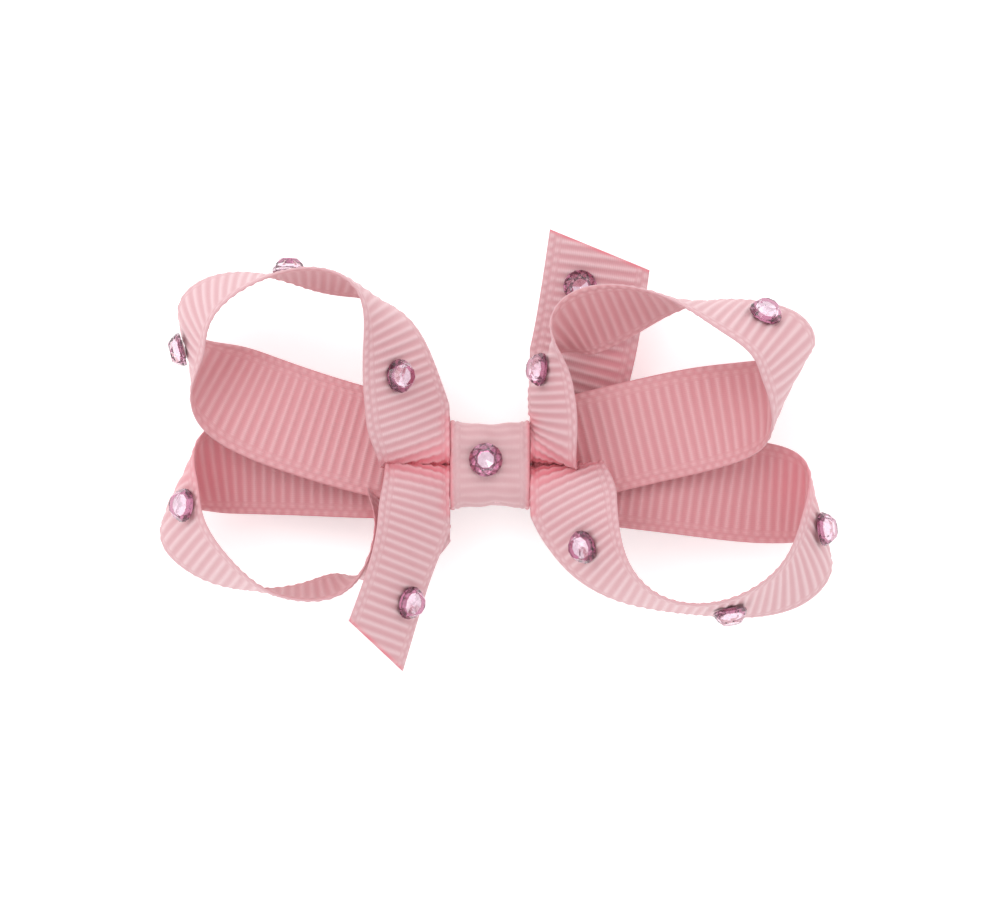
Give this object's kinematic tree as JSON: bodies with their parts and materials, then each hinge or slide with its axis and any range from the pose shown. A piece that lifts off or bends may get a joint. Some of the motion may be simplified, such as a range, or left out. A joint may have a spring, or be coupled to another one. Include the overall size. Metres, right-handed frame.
{
  "type": "hair bow clip",
  "caption": "Small hair bow of twisted grosgrain ribbon loops and two slanted tails, set with flat-back crystals, round a wrapped knot on a lined sprung hair clip.",
  "frame": {"origin": "under the knot, on the flat underside of the clip's lower jaw, midway between its edges", "axes": "+X along the bow and the clip, from the clip's nose towards its finger levers; +Y up the bow, towards the raised tail; +Z out of the bow's face"},
  "size_m": [0.0643, 0.0419, 0.0191],
  "materials": {
    "grosgrain_ribbon": "ribbed grosgrain",
    "lining_ribbon": "ribbed grosgrain",
    "thread": "twisted sewing thread",
    "crystal": "faceted, foiled behind",
    "stone_adhesive": "clear cured adhesive",
    "hot_melt_glue": "translucent",
    "plated_steel": "nickel plated",
    "pin_steel": "nickel plated",
    "spring_steel": "drawn wire"
  },
  "bodies": {
    "jaw": {"clip_lower_jaw": "plated_steel", "clip_hinge_pin": "pin_steel", "clip_spring": "spring_steel"},
    "bow": {"upper_left_loop": "grosgrain_ribbon", "upper_right_loop": "grosgrain_ribbon", "lower_left_loop": "grosgrain_ribbon", "lower_right_loop": "grosgrain_ribbon", "upper_tail": "grosgrain_ribbon", "lower_tail": "grosgrain_ribbon", "gathered_waist": "grosgrain_ribbon", "knot_wrap": "grosgrain_ribbon", "clip_lining": "lining_ribbon", "binding_thread": "thread", "glue_pad": "hot_melt_glue", "stone_adhesive": "stone_adhesive", "clip_upper_arm": "plated_steel", "clip_spring_leg": "spring_steel", "rhinestone_01": "crystal", "rhinestone_02": "crystal", "rhinestone_03": "crystal", "rhinestone_04": "crystal", "rhinestone_05": "crystal", "rhinestone_06": "crystal", "rhinestone_07": "crystal", "rhinestone_08": "crystal", "rhinestone_09": "crystal", "rhinestone_10": "crystal", "rhinestone_11": "crystal", "rhinestone_12": "crystal"}
  },
  "joints": [
    {"name": "clip_hinge", "type": "hinge", "parent": "jaw", "child": "bow", "pos_m": [0.011, 0, 0.00175], "axis": [0, 1, 0], "range_deg": [0, 13], "stiffness_Nm_per_rad": 0.2}
  ]
}
